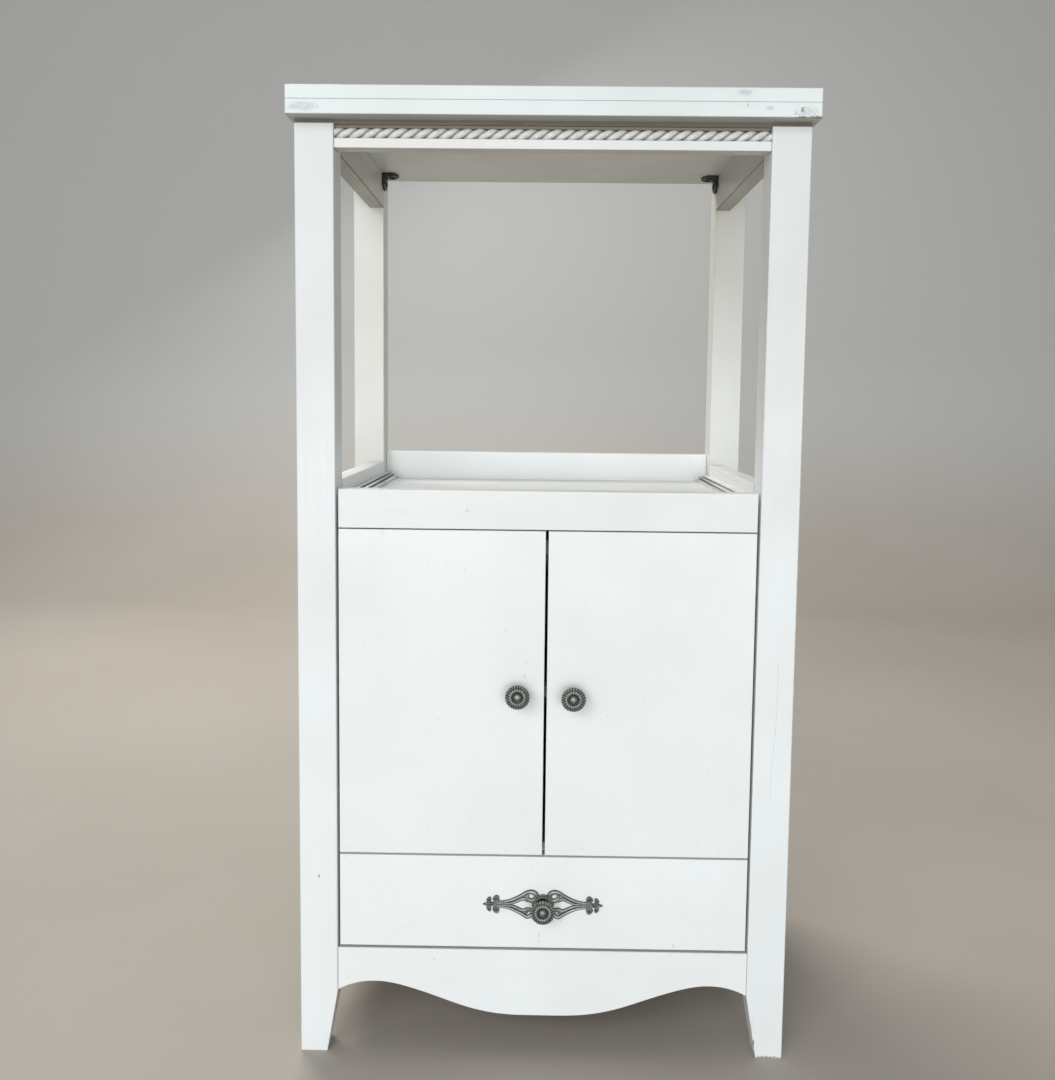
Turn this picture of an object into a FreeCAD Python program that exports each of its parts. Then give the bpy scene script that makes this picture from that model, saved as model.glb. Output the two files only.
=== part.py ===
import FreeCAD, Part
import math
import os

os.makedirs("parts", exist_ok=True)
V = FreeCAD.Vector

# A kitchen stand for a microwave oven, in mm. X is across, -Y is the front, Z is up from the floor.

# Frame of four square legs.
LEG_OUT = 280.0                  # half the width over the legs' outer faces
LEG = 43.0                       # leg section
IN = LEG_OUT - LEG               # half the clear width between the legs
FRONT, REAR = -196.0, 219.0      # the front legs' front faces, the rear legs' back faces
LEG_TOP = 1055.7
FOOT, FOOT_TAPER_Z = 30.5, 74.0  # the feet narrow to FOOT from this height down
SIDE_FRONT, SIDE_BACK = FRONT + LEG, REAR - LEG    # the side rails run between these

# Top: a board on a lower lipping, over a thin spacer set back from the front legs' faces.
SLAB_OUT = 285.5
SLAB_FRONT, SLAB_REAR = -216.0, 220.0
SLAB_TOP, SLAB_SEAM, SLAB_BOTTOM = 1091.0, 1075.6, 1060.5
SEAM_H, SEAM_IN = 0.9, 1.2       # height and depth of the groove under the board
SPACER_IN = 5.0

# Front top rail with its rope moulding; the side top rails share its lower edge.
RAIL_T, RAIL_BOTTOM = 20.5, 1030.0
RAIL_FACE = FRONT + 1.5
RAIL_BACK = RAIL_FACE + RAIL_T
ROPE_R, ROPE_Z = 6.0, 1046.5
ROPE_Y = RAIL_FACE + ROPE_R + 0.2

# Heights of the shelf level and the cabinet.
SHELF_RAIL_BOTTOM, SHELF_RAIL_TOP, BACK_RAIL_TOP = 604.0, 666.6, 680.4
TRAY_BOTTOM, TRAY_TOP, TRAY_FLOOR = 615.1, 658.7, 641.0
DOOR_BOTTOM, DOOR_TOP = 239.3, 613.8
DRAWER_BOTTOM, DRAWER_TOP = 128.5, 237.0
APRON_TOP, LOWER_RAIL_Z = 125.5, 74.0
ROOF_Z, SHELF_Z, FLOOR_Z = 585.0, 410.0, 231.0
BOARD, THIN = 15.0, 4.0          # thickness of the shelf boards and of the thin panels

# Doors, drawer front and tray front, all inset between the legs.
FACE, FRONT_T = FRONT + 1.0, 18.0
FACE_BACK = FACE + FRONT_T
FRONT_HALF = 234.0               # half their width, 3 mm clear of each leg
DOOR_GAP = 1.6                   # half the gap between the doors
INSIDE = FACE_BACK + 2.5         # front edges of the fixed boards behind them
BACK_T = 15.0
BACK_Y = REAR - 2.0 - BACK_T     # front of the back rails
PANEL_Y = BACK_Y + 4.0           # front of the thin back panel
EASE = 0.8                       # rounding of painted edges

# Knobs and backplate.
KNOB_R, KNOB_OUT = 14.0, 24.0
KNOB_X, LEFT_KNOB_Z, RIGHT_KNOB_Z, PLATE_Z = 31.3, 429.7, 428.0, 180.6
PLATE_T = 3.0

# Ball-bearing slides of the tray and the cleats of the drawer.
SLIDE_W, SLIDE_Z, SLIDE_HALF = 16.5, 632.2, 18.5
SLIDE_Y, SLIDE_LEN, SHEET, BALL_GAP = FRONT + 44.0, 350.0, 1.2, 2.9
DRAWER_HALF, DRAWER_LEN, DRAWER_SIDE = 222.0, 332.0, 12.0
DRAWER_BOX_BOTTOM, DRAWER_BOX_TOP, CLEAT_TOP = 137.0, 222.0, 136.0

# Concealed hinges.
CUP_R, CUP_DEPTH, CUP_WALL = 17.5, 12.0, 2.0
CUP_X = FRONT_HALF - 23.0
CUP_HEIGHTS = (DOOR_BOTTOM + 62.0, DOOR_TOP - 62.0)


def box(x0, x1, y0, y1, z0, z1):
    return Part.makeBox(x1 - x0, y1 - y0, z1 - z0, V(x0, y0, z0))


def mirror_x(shape):
    return shape.mirror(V(0, 0, 0), V(1, 0, 0))


def save(name, shape):
    shape.exportStep("parts/" + name + ".step")


def save_pair(name, right):
    save(name + "_right", right)
    save(name + "_left", mirror_x(right))


def both_sides(solids):
    return Part.makeCompound(solids + [mirror_x(s) for s in solids])


def edges_along(shape, axis, where=lambda p: True):
    """The straight edges along an axis whose middle passes the given test."""
    found = []
    for edge in shape.Edges:
        a, b = edge.Vertexes[0].Point, edge.Vertexes[-1].Point
        span = b - a
        if abs(getattr(span, axis)) > 0.999 * span.Length and where((a + b) * 0.5):
            found.append(edge)
    return found


def ease_along(shape, axis, where=lambda p: True, r=EASE):
    return shape.makeFillet(r, edges_along(shape, axis, where))


def ease_front(shape):
    """A panel with the four edges of its front face rounded."""
    front = shape.BoundBox.YMin + 0.01
    return shape.makeFillet(EASE, [e for e in shape.Edges if max(v.Y for v in e.Vertexes) < front])


def flat_face(corners):
    return Part.Face(Part.makePolygon(corners + corners[:1]))


def prism(points, axis, start, length):
    """A closed outline extruded along X or Y; points are (y, z) or (x, z)."""
    if axis == "x":
        corners = [V(start, a, b) for a, b in points]
        way = V(length, 0, 0)
    else:
        corners = [V(a, start, b) for a, b in points]
        way = V(0, length, 0)
    return flat_face(corners).extrude(way)


# ---- Top ----

# The board: eased upper edges, round front corners, and a groove along its lower edge.
top = box(-SLAB_OUT, SLAB_OUT, SLAB_FRONT, SLAB_REAR, SLAB_SEAM + SEAM_H, SLAB_TOP)
top = ease_along(top, "z", lambda p: p.y < 0, 2.5)
top = top.makeFillet(1.5, [e for e in top.Edges if min(v.Z for v in e.Vertexes) > SLAB_TOP - 0.01])
web = box(SEAM_IN - SLAB_OUT, SLAB_OUT - SEAM_IN, SLAB_FRONT + SEAM_IN, SLAB_REAR,
          SLAB_SEAM, SLAB_SEAM + SEAM_H)
save("top_board", top.fuse(web).removeSplitter())

# The lipping under it: a strip across the front and one along each side.
lipping = box(-SLAB_OUT, SLAB_OUT, SLAB_FRONT, RAIL_BACK, SLAB_BOTTOM, SLAB_SEAM)
lipping = ease_along(lipping, "z", lambda p: p.y < FRONT, 2.5)
save("top_lipping_front", lipping)
save_pair("top_lipping", box(IN, SLAB_OUT, RAIL_BACK, SLAB_REAR, SLAB_BOTTOM, SLAB_SEAM))

# The spacer: a thin strip over the front rail, with a pad over each front leg.
pad = box(IN, LEG_OUT, RAIL_BACK, SIDE_FRONT, LEG_TOP, SLAB_BOTTOM)
spacer = box(-LEG_OUT, LEG_OUT, FRONT + SPACER_IN, RAIL_BACK, LEG_TOP, SLAB_BOTTOM)
save("top_spacer", spacer.fuse([pad, mirror_x(pad)]).removeSplitter())


# ---- Legs and rails ----

def leg(outer_y, inner_y, top):
    """Right leg between two Y planes: square, its two inner sides narrowing to the foot."""
    low, high = sorted((outer_y, inner_y))
    post = ease_along(box(IN, LEG_OUT, low, high, 0, top), "z", r=1.5)
    drop = LEG - FOOT
    way = math.copysign(1.0, outer_y - inner_y)
    across = [(IN - 1, FOOT_TAPER_Z), (IN, FOOT_TAPER_Z), (IN + drop, 0), (IN + drop, -1), (IN - 1, -1)]
    along = [(inner_y - way, FOOT_TAPER_Z), (inner_y, FOOT_TAPER_Z), (inner_y + way * drop, 0),
             (inner_y + way * drop, -1), (inner_y - way, -1)]
    return post.cut(prism(across, "y", low - 1, LEG + 2)).cut(prism(along, "x", IN - 1, LEG + 2))


save_pair("leg_front", leg(FRONT, SIDE_FRONT, LEG_TOP))
save_pair("leg_rear", leg(REAR, SIDE_BACK, SLAB_BOTTOM))

# Front top rail: a square lip below a rebate, open at its top, where the rope lies in a hollow.
rope = Part.makeCylinder(ROPE_R, 2 * IN, V(-IN, ROPE_Y, ROPE_Z), V(1, 0, 0))
rail = box(-IN, IN, RAIL_FACE, RAIL_BACK, RAIL_BOTTOM, LEG_TOP)
rail = rail.cut(box(-IN, IN, RAIL_FACE - 1, ROPE_Y, ROPE_Z - ROPE_R, LEG_TOP + 1)).cut(rope)
save("top_rail_front", ease_along(rail, "x", lambda p: p.y < RAIL_FACE + 0.1 and p.z < ROPE_Z - ROPE_R + 1))
save("rope_moulding", rope)


def side_rail(z0, z1, thick=RAIL_T):
    """Right side rail or panel between the legs, level with their inner faces."""
    return box(IN, IN + thick, SIDE_FRONT, SIDE_BACK, z0, z1)


save_pair("top_rail", ease_along(side_rail(RAIL_BOTTOM, SLAB_BOTTOM), "y", lambda p: p.z < RAIL_BOTTOM + 1))
save_pair("shelf_rail", ease_along(side_rail(SHELF_RAIL_BOTTOM, SHELF_RAIL_TOP), "y",
                                   lambda p: p.z > SHELF_RAIL_TOP - 1))
save_pair("lower_rail", ease_along(side_rail(LOWER_RAIL_Z, APRON_TOP), "y", lambda p: p.z < LOWER_RAIL_Z + 1))

# Iron corner brackets from the rear legs and side rails to the underside of the top board.
BRACKET_W, BRACKET_T, BRACKET_ARM = 37.0, 2.5, 21.5
BRACKET_NOSE, BRACKET_END = 6.0, 10.0           # length of an arm's tapered end, width of its tip


def bracket_arm(way, thick):
    """Plate that runs one way from the bracket's corner to a blunt nose; thick is the way through it."""
    half, tip, shoulder = 0.5 * BRACKET_W, 0.5 * BRACKET_END, BRACKET_ARM - BRACKET_NOSE
    outline = [(0, -half), (shoulder, -half), (BRACKET_ARM, -tip),
               (BRACKET_ARM, tip), (shoulder, half), (0, half)]
    corner = V(IN, SIDE_BACK, SLAB_SEAM)
    plate = flat_face([corner + way * along + V(0, across, 0) for along, across in outline])
    return plate.extrude(thick * BRACKET_T)


bracket = bracket_arm(V(-1, 0, 0), V(0, 0, -1)).fuse(bracket_arm(V(0, 0, -1), V(-1, 0, 0))).removeSplitter()
save_pair("bracket", bracket)

# ---- Cabinet ----

# Back: a rail behind the tray, a thin panel and a lower rail.
back_rail = box(-IN, IN, BACK_Y, BACK_Y + BACK_T, SHELF_RAIL_BOTTOM, BACK_RAIL_TOP)
save("back_rail", ease_along(back_rail, "x", lambda p: p.z > BACK_RAIL_TOP - 1))
save("back_panel", box(-IN, IN, PANEL_Y, PANEL_Y + THIN, APRON_TOP, SHELF_RAIL_BOTTOM))
save("back_lower_rail", box(-IN, IN, BACK_Y, BACK_Y + BACK_T, LOWER_RAIL_Z, APRON_TOP))

# Roof and floor of the cupboard, and the board under the drawer.
save("cupboard_roof", box(-IN, IN, INSIDE, PANEL_Y, ROOF_Z, ROOF_Z + BOARD))
save("cupboard_floor", box(-IN, IN, INSIDE, PANEL_Y, FLOOR_Z, FLOOR_Z + BOARD))
save("bottom_board", box(-IN, IN, RAIL_FACE + FRONT_T, BACK_Y, APRON_TOP - BOARD, APRON_TOP))

# Loose shelf on four pins that stand out of the side panels.
SHELF_SET_BACK, SHELF_REAR_GAP, SHELF_SIDE_GAP = 28.0, 6.0, 1.0
PIN_R, PIN_OUT, PIN_FRONT, PIN_REAR = 2.5, 8.0, 60.0, 40.0
shelf = box(SHELF_SIDE_GAP - IN, IN - SHELF_SIDE_GAP, INSIDE + SHELF_SET_BACK, PANEL_Y - SHELF_REAR_GAP,
            SHELF_Z, SHELF_Z + BOARD)
save("cupboard_shelf", ease_along(shelf, "x", lambda p: p.y < 0))
pins = [Part.makeCylinder(PIN_R, PIN_OUT, V(IN - PIN_OUT, y, SHELF_Z - PIN_R), V(1, 0, 0))
        for y in (INSIDE + PIN_FRONT, PANEL_Y - PIN_REAR)]
save("shelf_pins", both_sides(pins))
save_pair("side_panel", side_rail(APRON_TOP, SHELF_RAIL_BOTTOM, BOARD))

# Apron with a scalloped lower edge: a crest beside each leg and a deep bow in the middle.
half_edge = [(IN, LOWER_RAIL_Z), (222.5, 80.6), (187.0, 85.0), (152.4, 77.8), (122.3, 67.8), (92.8, 57.3),
             (52.1, 48.2), (0.0, 46.4)]
scallop = Part.BSplineCurve()
scallop.interpolate([V(x, RAIL_FACE, z) for x, z in half_edge]
                    + [V(-x, RAIL_FACE, z) for x, z in half_edge[-2::-1]])
corners = [V(-IN, RAIL_FACE, half_edge[0][1]), V(-IN, RAIL_FACE, APRON_TOP),
           V(IN, RAIL_FACE, APRON_TOP), V(IN, RAIL_FACE, half_edge[0][1])]
apron = Part.Face(Part.Wire([scallop.toShape(), Part.makePolygon(corners)])).extrude(V(0, FRONT_T, 0))
save("apron", apron)

# Cleats that carry the drawer's sides.
CLEAT_IN, CLEAT_REAR_GAP = DRAWER_HALF - 14.0, 20.0
save("drawer_cleats", both_sides([box(CLEAT_IN, IN, INSIDE, BACK_Y - CLEAT_REAR_GAP, APRON_TOP, CLEAT_TOP)]))

# ---- Pull-out tray ----


def channel(web, lip, half):
    """Right-hand slide member: web and lip are distances in from the shelf rail, half its half height."""
    y1 = SLIDE_Y + SLIDE_LEN
    step = math.copysign(SHEET, lip - web)
    u0, u1 = sorted((web, web + step))
    w0, w1 = sorted((web, lip))
    shape = box(IN - u1, IN - u0, SLIDE_Y, y1, SLIDE_Z - half, SLIDE_Z + half)
    for z in (SLIDE_Z - half, SLIDE_Z + half - SHEET):
        shape = shape.fuse(box(IN - w1, IN - w0, SLIDE_Y, y1, z, z + SHEET))
    return shape.removeSplitter()


# Nested channels: one screwed to the cabinet, a middle one, and one screwed to the tray.
members = {"cabinet": channel(0.0, 6.4, SLIDE_HALF),
           "middle": channel(4.6, 11.6, SLIDE_HALF - BALL_GAP),
           "tray": channel(SLIDE_W, 8.8, SLIDE_HALF - 2 * BALL_GAP)}
for name, member in members.items():
    save("slide_members_" + name, both_sides([member]))

# Tray: a front board, a floor, and battens under the floor's edges.
TRAY_FRONT_T, TRAY_REAR_GAP = 20.0, 4.0
BATTEN_W, BATTEN_SHORT, BATTEN_UP = 18.0, 6.0, 1.0    # width, gap to the floor's ends, rise from its edge
tray_half = IN - SLIDE_W
tray_y0, tray_y1 = FACE + TRAY_FRONT_T, BACK_Y - TRAY_REAR_GAP
tray_front = box(-FRONT_HALF, FRONT_HALF, FACE, tray_y0, TRAY_BOTTOM, TRAY_TOP)
save("tray_front", ease_along(ease_front(tray_front), "x", lambda p: p.y > tray_y0 - 1))
save("tray_floor", box(-tray_half, tray_half, tray_y0, tray_y1, TRAY_FLOOR - BOARD, TRAY_FLOOR))
save("tray_battens", both_sides([box(tray_half - BATTEN_W, tray_half, tray_y0 + BATTEN_SHORT,
                                     tray_y1 - BATTEN_SHORT, TRAY_BOTTOM + BATTEN_UP, TRAY_FLOOR - BOARD)]))

# ---- Knobs ----

# Profile of the rosette knob as (radius, height): base, neck, flared body, rounded rim, dished
# face with its raised bead ring, and the centre boss. It is drawn with flat sides.
KNOB_PROFILE = [(8.0, 0.0), (5.0, 6.0), (12.6, 17.4), (KNOB_R, 20.6), (11.8, 22.4),
                (8.6, 23.0), (6.6, 21.4), (4.4, 23.2), (1.6, KNOB_OUT)]
KNOB_SIDES = 32


def ring(x, y, z, half_width, half_height, sides):
    """Corners of an upright oval or circle drawn with straight sides."""
    turns = [2 * math.pi * (i + 0.5) / sides for i in range(sides)]
    return [V(x + half_width * math.cos(t), y, z + half_height * math.sin(t)) for t in turns]


def knob(x, z, base_y):
    """The knob on a base plane; its base is cut off by that plane and its face stays in place."""
    rings = [ring(x, min(FACE - h, base_y), z, r, r, KNOB_SIDES) for r, h in KNOB_PROFILE]
    faces = [flat_face(rings[0]), flat_face(rings[-1])]
    for low, high in zip(rings, rings[1:]):
        for i in range(KNOB_SIDES):
            faces.append(flat_face([low[i - 1], low[i], high[i], high[i - 1]]))
    return Part.makeSolid(Part.makeShell(faces))


# ---- Doors ----

FLANGE_T, FLANGE_OVER = 0.8, 3.0                # hinge cup's flange: thickness, reach past the cup
HINGE_PLATE = (-4.0, 44.0, 2.5, 14.0)           # base plate: ends from the leg's back, thickness, half height
HINGE_ARM_END, HINGE_ARM_OUT, HINGE_ARM_HALF = 40.0, 12.0, 6.0
CATCH_HALF, CATCH_GAP, CATCH_DEPTH, CATCH_H = 26.0, 1.5, 14.5, 13.0
STRIKER_X, STRIKER_W, STRIKER_T = 8.0, 15.0, 1.2


def cup(z):
    """Hinge cup let into the door, with its thin flange against the door's back."""
    flange = box(CUP_X - CUP_R - FLANGE_OVER, CUP_X + CUP_R + FLANGE_OVER,
                 FACE_BACK, FACE_BACK + FLANGE_T, z - CUP_R, z + CUP_R)
    start = V(CUP_X, FACE_BACK - CUP_DEPTH, z)
    bowl = Part.makeCylinder(CUP_R, CUP_DEPTH, start, V(0, 1, 0))
    hollow = Part.makeCylinder(CUP_R - CUP_WALL, CUP_DEPTH + 1, start + V(0, 1, 0), V(0, 1, 0))
    return flange.fuse(bowl).cut(hollow).removeSplitter()


def hinge_arm(z):
    """Hinge arm on its base plate, which lies on the leg and the side panel."""
    start, end, thick, half = HINGE_PLATE
    plate = box(IN - thick, IN, SIDE_FRONT + start, SIDE_FRONT + end, z - half, z + half)
    arm = box(IN - HINGE_ARM_OUT, IN - thick, INSIDE, SIDE_FRONT + HINGE_ARM_END,
              z - HINGE_ARM_HALF, z + HINGE_ARM_HALF)
    return plate.fuse(arm).removeSplitter()


door = ease_front(box(DOOR_GAP, FRONT_HALF, FACE, FACE_BACK, DOOR_BOTTOM, DOOR_TOP))
for z in CUP_HEIGHTS:
    door = door.cut(Part.makeCylinder(CUP_R, CUP_DEPTH, V(CUP_X, FACE_BACK - CUP_DEPTH, z), V(0, 1, 0)))
save_pair("door", door)
save("door_knob_left", knob(-KNOB_X, LEFT_KNOB_Z, FACE))
save("door_knob_right", knob(KNOB_X, RIGHT_KNOB_Z, FACE))
save_pair("hinge_cups", Part.makeCompound([cup(z) for z in CUP_HEIGHTS]))
save("hinge_arms", both_sides([hinge_arm(z) for z in CUP_HEIGHTS]))

# Twin magnetic catch under the cupboard roof, and a steel striker on each door.
catch_y = INSIDE + CATCH_GAP
catch = box(-CATCH_HALF, CATCH_HALF, catch_y, catch_y + CATCH_DEPTH, ROOF_Z - CATCH_H, ROOF_Z)
save("door_catch", ease_along(catch, "y", lambda p: p.z < ROOF_Z - 1, 2.0))
save_pair("striker", box(STRIKER_X, STRIKER_X + STRIKER_W, FACE_BACK, FACE_BACK + STRIKER_T,
                         ROOF_Z - CATCH_H, ROOF_Z - STRIKER_T))

# ---- Drawer ----

# Front, two grooved sides, a back on top of the bottom panel, and the bottom.
DRAWER_BOTTOM_UP, DRAWER_GROOVE, DRAWER_BACK_LOW = 9.0, 6.0, 6.0
drawer_end = FACE_BACK + DRAWER_LEN
drawer_bottom_z = DRAWER_BOX_BOTTOM + DRAWER_BOTTOM_UP
inner_half = DRAWER_HALF - DRAWER_SIDE
save("drawer_front", ease_front(box(-FRONT_HALF, FRONT_HALF, FACE, FACE_BACK, DRAWER_BOTTOM, DRAWER_TOP)))
drawer_bottom = box(-inner_half - DRAWER_GROOVE, inner_half + DRAWER_GROOVE, FACE_BACK, drawer_end,
                    drawer_bottom_z, drawer_bottom_z + THIN)
side = box(inner_half, DRAWER_HALF, FACE_BACK, drawer_end, DRAWER_BOX_BOTTOM, DRAWER_BOX_TOP)
save_pair("drawer_side", side.cut(drawer_bottom))
save("drawer_back", box(-inner_half, inner_half, drawer_end - DRAWER_SIDE, drawer_end,
                        drawer_bottom_z + THIN, DRAWER_BOX_TOP - DRAWER_BACK_LOW))
save("drawer_bottom", drawer_bottom)


def plate_point(x, z):
    return V(x, FACE, PLATE_Z + z)


def plate_disc(r, x, z):
    return Part.makeCylinder(r, PLATE_T, plate_point(x, z), V(0, -1, 0))


def facetted(x, z, half_width, half_height, sides):
    """The plate inside a small oval drawn with straight sides."""
    corners = ring(x, FACE, PLATE_Z + z, half_width, half_height, sides)
    return flat_face(corners).extrude(V(0, -PLATE_T, 0))


def lens(points):
    """The plate between a smooth line and its mirror image about the plate's middle height."""
    edges = []
    for up in (1, -1):
        line = Part.BSplineCurve()
        line.interpolate([plate_point(x, up * z) for x, z in points])
        edges.append(line.toShape())
    for x, z in (points[0], points[-1]):
        if z > 0:
            edges.append(Part.makeLine(plate_point(x, z), plate_point(x, -z)))
    return Part.Face(Part.Wire(Part.__sortEdges__(edges))).extrude(V(0, -PLATE_T, 0))


def backplate():
    """Pierced ornament: twin bars, four scrolls about the knob, four petals and a point at each end."""
    scroll_x, scroll_z, scroll_r, eye_r = 13.2, 9.8, 7.8, 2.2
    bar = lens([(6.3, 11.6), (20.0, 12.2), (27.3, 9.7), (37.3, 5.3), (44.1, 3.9), (52.5, 3.4)])
    point = lens([(50.4, 2.7), (58.8, 1.9), (64.0, 2.3), (69.3, 0.0)])
    solids = [point]
    for up in (1, -1):
        solids += [plate_disc(scroll_r, scroll_x, up * scroll_z),
                   facetted(53.6, up * 6.6, 3.8, 4.2, 12), facetted(61.9, up * 5.3, 2.7, 3.5, 12)]
    right = bar.fuse(solids).cut(lens([(11.5, 0.0), (16.3, 3.0), (22.6, 4.9), (29.4, 3.4), (35.7, 0.0)]))
    for up in (1, -1):
        right = right.cut(facetted(scroll_x + 0.4, up * scroll_z, eye_r, eye_r, 8))
    return right.fuse([mirror_x(right), plate_disc(12.8, 0, 0)]).removeSplitter()


save("drawer_backplate", backplate())
save("drawer_knob", knob(0, PLATE_Z, FACE - PLATE_T))
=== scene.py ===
import bpy
import math
import numpy as np
from mathutils import Matrix, Vector


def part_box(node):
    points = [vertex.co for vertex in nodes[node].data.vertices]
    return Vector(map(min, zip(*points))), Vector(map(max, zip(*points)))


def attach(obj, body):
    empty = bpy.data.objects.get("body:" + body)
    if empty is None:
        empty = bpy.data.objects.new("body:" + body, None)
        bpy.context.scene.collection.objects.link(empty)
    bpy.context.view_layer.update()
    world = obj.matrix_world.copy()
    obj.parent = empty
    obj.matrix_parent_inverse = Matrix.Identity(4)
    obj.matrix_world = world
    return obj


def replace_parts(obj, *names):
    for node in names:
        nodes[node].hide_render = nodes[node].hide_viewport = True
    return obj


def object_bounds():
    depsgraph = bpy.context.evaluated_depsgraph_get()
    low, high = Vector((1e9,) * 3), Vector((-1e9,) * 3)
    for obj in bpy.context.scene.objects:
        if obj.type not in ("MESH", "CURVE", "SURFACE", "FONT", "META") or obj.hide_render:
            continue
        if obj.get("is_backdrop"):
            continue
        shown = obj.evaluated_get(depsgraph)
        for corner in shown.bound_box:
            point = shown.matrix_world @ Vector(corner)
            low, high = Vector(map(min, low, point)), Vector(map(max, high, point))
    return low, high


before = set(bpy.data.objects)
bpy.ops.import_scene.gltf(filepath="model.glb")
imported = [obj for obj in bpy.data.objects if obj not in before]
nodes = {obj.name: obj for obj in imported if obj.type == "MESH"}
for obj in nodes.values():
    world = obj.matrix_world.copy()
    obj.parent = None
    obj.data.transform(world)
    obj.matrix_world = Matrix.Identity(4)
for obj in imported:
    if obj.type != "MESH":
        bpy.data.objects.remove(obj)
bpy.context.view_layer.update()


# ---- Legs ----
# Four square softwood legs with tapered feet, with the rails dowelled between them. The whole stand is
# sprayed and brushed over with a semi-gloss cream enamel. The coat shows faint brush lines along each piece,
# specks, thin scratches, and a few knocks and scuffs.

def put(tree, kind, sockets=(), **settings):
    """A shader node with its settings; sockets is pairs of an input's name or number and a value or link."""
    made = tree.nodes.new("ShaderNode" + kind)
    for name, value in settings.items():
        setattr(made, name, value)
    for name, value in sockets:
        if isinstance(value, bpy.types.NodeSocket):
            tree.links.new(value, made.inputs[name])
        else:
            made.inputs[name].default_value = value
    return made


def maths(tree, operation, first, second=0.0):
    return put(tree, "Math", [(0, first), (1, second)], operation=operation).outputs[0]


def vector_maths(tree, operation, *vectors):
    return put(tree, "VectorMath", enumerate(vectors), operation=operation).outputs


def apart(tree, value, other):
    """The size of a difference, |value - other|."""
    return maths(tree, "ABSOLUTE", maths(tree, "SUBTRACT", value, other))


def ramp(tree, value, low, high, to_low=0.0, to_high=1.0):
    """Smooth step: to_low below low, to_high above high, an S curve between."""
    return put(tree, "MapRange", [("Value", value), ("From Min", low), ("From Max", high), ("To Min", to_low),
                                  ("To Max", to_high)], interpolation_type="SMOOTHSTEP").outputs[0]


def blend_colour(tree, share, first, second):
    """Two colours mixed by a share."""
    return put(tree, "Mix", [(0, share), (6, first), (7, second)], data_type="RGBA").outputs[2]


def stretched(tree, place, scale):
    return put(tree, "Mapping", [("Vector", place), ("Scale", scale)]).outputs[0]


def along_grain(along, slow, quick):
    """Scales of a pattern that is drawn out along one axis: slow on that axis, quick on the other two."""
    return tuple(slow if axis == along else quick for axis in "xyz")


def noise(tree, place, scale, detail=4.0, rough=0.55, distortion=0.0):
    return put(tree, "TexNoise", [("Vector", place), ("Scale", scale), ("Detail", detail),
                                  ("Roughness", rough), ("Distortion", distortion)]).outputs[0]


def relief_normal(tree, strength, distance, height):
    """The normal of a surface raised by a height, where a height of 1 stands for a distance in metres."""
    return put(tree, "Bump", [("Strength", strength), ("Distance", distance), ("Height", height)]).outputs[0]


def new_material(name):
    """A material, its node tree and the place on the piece in metres."""
    material = bpy.data.materials.new(name)
    material.use_nodes = True
    return material, material.node_tree, put(material.node_tree, "TexCoord").outputs["Object"]


def feed(tree, colour, gloss, normal):
    """Links a colour, a roughness and a normal to the material's shader, and gives back its inputs."""
    inputs = tree.nodes["Principled BSDF"].inputs
    for name, value in (("Base Color", colour), ("Roughness", gloss), ("Normal", normal)):
        tree.links.new(value, inputs[name])
    return inputs


def new_group(name, takes, gives):
    """An empty node group; takes and gives are pairs of a socket's name and kind."""
    group = bpy.data.node_groups.new(name, "ShaderNodeTree")
    for way, sockets in (("INPUT", takes), ("OUTPUT", gives)):
        for label, kind in sockets:
            group.interface.new_socket(label, in_out=way, socket_type="NodeSocket" + kind)
    return group, group.nodes.new("NodeGroupInput").outputs, group.nodes.new("NodeGroupOutput").inputs


def placed(tree, group, **values):
    """A node group placed in a tree, with a value or a link for each of its inputs."""
    return put(tree, "Group", values.items(), node_tree=group).outputs


# Edge wear: how far a normal rounded over a small radius leans away from the face's own normal, as the
# cosine of the angle between them, broken up by noise so that only some stretches of an edge have rubbed.
UPRIGHT, LEANING, RUBBED_FROM = 0.995, 0.90, 0.62
edge_wear, takes, gives = new_group(
    "Edge Wear", [("Place", "Vector"), ("Radius", "Float"), ("Patches", "Float"), ("Cover", "Float")],
    [("Mask", "Float")])
rounded = put(edge_wear, "Bevel", [("Radius", takes["Radius"])], samples=4).outputs[0]
flat = put(edge_wear, "NewGeometry").outputs["Normal"]
lean = ramp(edge_wear, vector_maths(edge_wear, "DOT_PRODUCT", rounded, flat)["Value"], UPRIGHT, LEANING)
patch = noise(edge_wear, takes["Place"], takes["Patches"], 6.0, 0.62)
rubbed = maths(edge_wear, "GREATER_THAN", maths(edge_wear, "ADD", patch, takes["Cover"]), RUBBED_FROM)
edge_wear.links.new(maths(edge_wear, "MULTIPLY", lean, rubbed), gives["Mask"])

# Fine scratches: the thin line where a stretched noise passes its middle value, kept in a few patches.
SCRATCH_TURN, NOISE_MIDDLE = (0.06, 0.35, 0.1), 0.5
scratches, takes, gives = new_group(
    "Scratches", [("Place", "Vector"), ("Stretch", "Vector"), ("Width", "Float"), ("Cover", "Float")],
    [("Mask", "Float")])
turned = put(scratches, "Mapping", [("Vector", takes["Place"]), ("Rotation", SCRATCH_TURN)]).outputs[0]
drawn = vector_maths(scratches, "MULTIPLY", turned, takes["Stretch"])[0]
off_line = apart(scratches, noise(scratches, drawn, 1.0, 1.0, 0.4), NOISE_MIDDLE)
line = ramp(scratches, maths(scratches, "DIVIDE", off_line, takes["Width"]), 1.0, 0.2)
patch = maths(scratches, "ADD", noise(scratches, takes["Place"], 9.0, 2.0), takes["Cover"])
scratches.links.new(maths(scratches, "MULTIPLY", line, ramp(scratches, patch, 0.60, 0.68)), gives["Mask"])

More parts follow.
